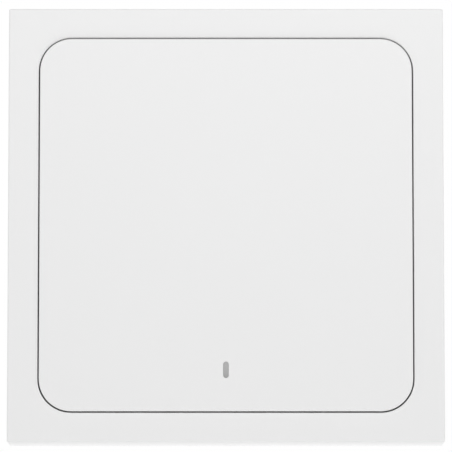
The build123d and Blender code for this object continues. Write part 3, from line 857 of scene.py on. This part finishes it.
def screw_thread(across, up, core, crest, bottom, top):
    """Sharp helical ridge round a screw's core."""
    pitch = 0.55 * mm
    turn_steps = 28
    ridge_radius = (crest - core) / 1.1
    clear()
    bpy.ops.mesh.primitive_circle_add(vertices=3, radius=ridge_radius, fill_type="NOTHING")
    ridge = bpy.context.object
    shape_all()
    bpy.ops.transform.rotate(value=quarter_turn, orient_axis="Z", center_override=(0, 0, 0))
    bpy.ops.transform.translate(value=(crest - ridge_radius, 0, 0))
    shape_done()
    ridge.location = (across, -bottom - pitch, up)
    winding = ridge.modifiers.new("winding", "SCREW")
    winding.axis = "Y"
    winding.screw_offset = -pitch
    winding.iterations = int((top - bottom) / pitch) - 1
    winding.steps = turn_steps
    winding.render_steps = turn_steps
    bpy.ops.object.modifier_apply(modifier="winding")
    shape_all()
    bpy.ops.mesh.fill_holes(sides=0)
    bpy.ops.mesh.normals_make_consistent(inside=False)
    shape_done()
    return place_in_mesh(ridge)


def screws_and_rings():
    """Two pan-head screws with a cross recess and a coarse thread, and the rings they press."""
    low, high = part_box("board_screws")
    head = 1.9 * mm
    core = 0.62 * mm
    crest = 0.85 * mm
    point = 0.35 * mm
    recess = 0.75 * mm
    tip = -high[1]
    top = -low[1]
    seat = -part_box("circuit_board")[0][1]
    across = low[0] + head
    up = high[2] - head
    step = (high[0] - head - across, 0, low[2] + head - up)
    # From the tip along the shank to the crown of the head
    screw_rings = [
        (0.3 * mm, tip),
        (core, tip + point),
        (core, seat),
        (head - 0.04 * mm, seat),
        (head, seat + 0.08 * mm),
        (head, seat + 0.42 * mm),
        (0.93 * head, seat + 0.68 * mm),
        (0.76 * head, seat + 0.9 * mm),
        (0.5 * head, seat + 1.04 * mm),
        (0.2 * head, top),
    ]
    screw = turned(across, up, screw_rings, round_steps)
    for arm in drive_recess(across, up, top, top - recess):
        cut_away(screw, arm)
    thread = screw_thread(across, up, core, crest, tip + point, seat)
    screws = repeated(joined([screw, thread]), [step])
    finish(screws, "pan_head_screws", "board_screws", "screw_steel")

    # Plated rings round the screw holes
    hole = 1.12 * mm
    rim = 2.7 * mm
    pad_rings = [
        (hole, seat - plating),
        (rim, seat - plating),
        (rim, seat + plating),
        (hole, seat + plating),
    ]
    pads = repeated(turned_ring(across, up, pad_rings, round_steps), [step])
    finish(pads, "earth_rings", "circuit_board", "contact_metal", stands_in=False)


def coin_cell():
    """Drawn can with a rolled rim, a gasket and a stepped cap."""
    low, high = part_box("battery_can")
    across = (low[0] + high[0]) / 2
    up = (low[2] + high[2]) / 2
    radius = (high[0] - low[0]) / 2
    back = -high[1]
    front = -low[1]
    gasket_low, gasket_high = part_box("battery_gasket")
    mouth = (gasket_high[0] - gasket_low[0]) / 2
    floor = -gasket_low[1]
    cap_low, cap_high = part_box("battery_cap")
    cap = (cap_high[0] - cap_low[0]) / 2
    cap_back = -cap_high[1]
    cap_front = -cap_low[1]
    centre = 0.1 * mm
    # From the floor inside, round the rolled rim and up the wall to the pressed face
    can_rings = [
        (mouth, floor),
        (mouth, back + 0.12 * mm),
        (mouth + 0.1 * mm, back + 0.02 * mm),
        (mouth + 0.25 * mm, back),
        (radius - 0.2 * mm, back + 0.04 * mm),
        (radius - 0.05 * mm, back + 0.16 * mm),
        (radius, back + 0.35 * mm),
        (radius, front - 0.4 * mm),
        (radius - 0.07 * mm, front - 0.2 * mm),
        (radius - 0.2 * mm, front - 0.06 * mm),
        (radius - 0.4 * mm, front),
        (radius - 1.3 * mm, front),
        (radius - 1.45 * mm, front - 0.05 * mm),
        (centre, front - 0.05 * mm),
    ]
    # Round the section of the gasket, with its two back edges broken
    gasket_rings = [
        (cap, floor),
        (mouth, floor),
        (mouth, back + 0.1 * mm),
        (mouth - 0.1 * mm, back),
        (cap + 0.1 * mm, back),
        (cap, back + 0.1 * mm),
    ]
    # From the middle of the cap out over its shoulder and down its wall
    cap_rings = [
        (centre, cap_back),
        (cap - 1.4 * mm, cap_back),
        (cap - 0.5 * mm, cap_back + 0.02 * mm),
        (cap - 0.25 * mm, cap_back + 0.1 * mm),
        (cap - 0.08 * mm, cap_back + 0.28 * mm),
        (cap, cap_back + 0.5 * mm),
        (cap, cap_front),
    ]
    for name, node, material, make, rings in (
        ("cell_can", "battery_can", "cell_steel", turned, can_rings),
        ("cell_gasket", "battery_gasket", "gasket_plastic", turned_ring, gasket_rings),
        ("cell_cap", "battery_cap", "cell_steel", turned, cap_rings),
    ):
        finish(make(across, up, rings, fine_round_steps), name, node, material)


def contacts():
    """Battery contacts with softly rounded strip edges."""
    refined("battery_positive_clip", "cell_clip", 0.05, 2, "contact_metal")
    refined("battery_negative_spring", "cell_spring", 0.05, 2, "contact_metal")


def tactile_switch(hand):
    """One switch: base, terminals, shell, plunger, and a dome with a mesh of its own."""
    refined(f"{hand}_switch_base", f"{hand}_key_base", 0.06, 2, "switch_plastic")
    refined(f"{hand}_switch_terminals", f"{hand}_key_legs", 0.03, 1, "contact_metal")
    refined(f"{hand}_switch_shell", f"{hand}_key_shell", 0.05, 2, "shell_steel")
    dome = refined(f"{hand}_switch_dome", f"{hand}_key_dome", 0.02, 1, "contact_metal")
    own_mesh(dome)
    refined(f"{hand}_switch_plunger", f"{hand}_key_plunger", 0.1, 3, "plunger_rubber")


def status_light():
    """Small white case with plated ends and a clear crowned lens."""
    low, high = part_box("status_led")
    base_top = high[1] - 0.5 * mm
    end = 0.35 * mm
    end_drop = 0.12 * mm
    edge = 0.04 * mm
    lens_inset = 0.15 * mm
    lens_corner = 0.18 * mm
    crown_inset = 0.12 * mm
    crown = 0.08 * mm
    case = block(
        (low[0] + plating, base_top, low[2] + plating),
        (high[0] - plating, high[1], high[2] - plating),
    )
    round_edges(case, edge, 2)
    finish(case, "light_case", "status_led", "led_plastic")
    caps = []
    for bottom, top in ((low[2], low[2] + end), (high[2] - end, high[2])):
        cap = block((low[0], base_top + end_drop, bottom), (high[0], high[1], top))
        caps.append(round_edges(cap, edge, 2))
    finish(joined(caps), "light_ends", "status_led", "antenna_copper")
    lens = block(
        (low[0] + lens_inset, low[1], low[2] + lens_inset),
        (high[0] - lens_inset, base_top, high[2] - lens_inset),
    )
    pick_edges(lens, runs_out)
    bevel_picked(lens_corner, 5)
    pick_front(lens)
    bpy.ops.mesh.inset(thickness=crown_inset)
    shape_done()
    round_edges(lens, crown, 4)
    finish(lens, "light_lens", "status_led", "led_resin")


def radio_module():
    """Module board with plated edge notches, can, chip, crystal and its printed antenna."""
    refined("radio_board", "module_card", 0.03, 1, "module_board")
    refined("radio_shield", "module_can", 0.1, 2, "shell_steel")
    refined("radio_chip", "module_chip", 0.06, 2, "chip_resin")
    refined("radio_crystal", "module_crystal", 0.12, 3, "shell_steel")
    for holder in nodes["radio_antenna"].material_slots:
        holder.material = materials["antenna_copper"]


def chip_row(node, name, material, cover_material=None):
    """Small chip parts: a body between two plated ends, in three columns and two rows."""
    low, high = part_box(node)
    length = 1.6 * mm
    width = 0.8 * mm
    cap = 0.32 * mm
    body_edge = 0.04 * mm
    cap_edge = 0.07 * mm
    face_edge = 0.01 * mm
    columns = 3
    rows = 2
    step_across = ((high[0] - low[0]) - length) / 2
    step_up = (high[2] - low[2]) - width
    steps = []
    for column in range(columns):
        for row in range(rows):
            if column or row:
                steps.append((column * step_across, 0, row * step_up))
    body = block(
        (low[0] + cap / 2, low[1] + plating, low[2] + plating),
        (low[0] + length - cap / 2, high[1] - plating, low[2] + width - plating),
    )
    round_edges(body, body_edge, 2)
    ends = []
    for left in (low[0], low[0] + length - cap):
        end = block((left, low[1], low[2]), (left + cap, high[1], low[2] + width))
        ends.append(round_edges(end, cap_edge, 3))
    if cover_material:
        face = block(
            (low[0] + cap, low[1] + plating / 2, low[2] + 2 * plating),
            (low[0] + length - cap, low[1] + 3 * plating, low[2] + width - 2 * plating),
        )
        round_edges(face, face_edge, 1)
        finish(repeated(face, steps), name + "_faces", node, cover_material)
    finish(repeated(body, steps), name, node, material)
    finish(repeated(joined(ends), steps), name + "_ends", node, "screw_steel")


def bulk_capacitor():
    """Moulded case with a polarity band and bent strip leads at both ends."""
    low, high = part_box("bulk_capacitor")
    lead = 0.14 * mm
    half_lead = 2.4 * mm / 2
    foot_length = 1.2 * mm
    foot_thickness = 0.1 * mm
    stand_off = 0.05 * mm
    across = (low[0] + high[0]) / 2
    middle = (low[2] + high[2]) / 2
    waist = low[1] + 0.5 * (high[1] - low[1])
    case = block((low[0] + lead, low[1], low[2]), (high[0] - lead, high[1] - stand_off, high[2]))
    pick_front(case)
    taper_picked(0.96, 0.93, (across, low[1], middle))
    round_edges(case, 0.12 * mm, 3, angle=30)
    finish(case, "bulk_case", "bulk_capacitor", "tantalum_resin")
    leads = []
    for left, foot in ((low[0], low[0]), (high[0] - lead, high[0] - foot_length)):
        strip = block(
            (left, waist, middle - half_lead), (left + lead, high[1], middle + half_lead)
        )
        sole = block(
            (foot, high[1] - foot_thickness, middle - half_lead),
            (foot + foot_length, high[1], middle + half_lead),
        )
        leads.append(round_edges(strip, 0.04 * mm, 2))
        leads.append(round_edges(sole, 0.03 * mm, 2))
    finish(joined(leads), "bulk_leads", "bulk_capacitor", "screw_steel")


case_parts()
for side in ("left", "right"):
    adhesive_pad(side)
refined("circuit_board", "main_board", 0.04, 1, "board_green")
screws_and_rings()
coin_cell()
contacts()
for hand in ("left", "right"):
    tactile_switch(hand)
status_light()
radio_module()
chip_row("ceramic_capacitors", "capacitor_bodies", "ceramic")
chip_row("chip_resistors", "resistor_bodies", "chip_base", "chip_resin")
bulk_capacitor()

bpy.context.scene.view_settings.view_transform = "Standard"
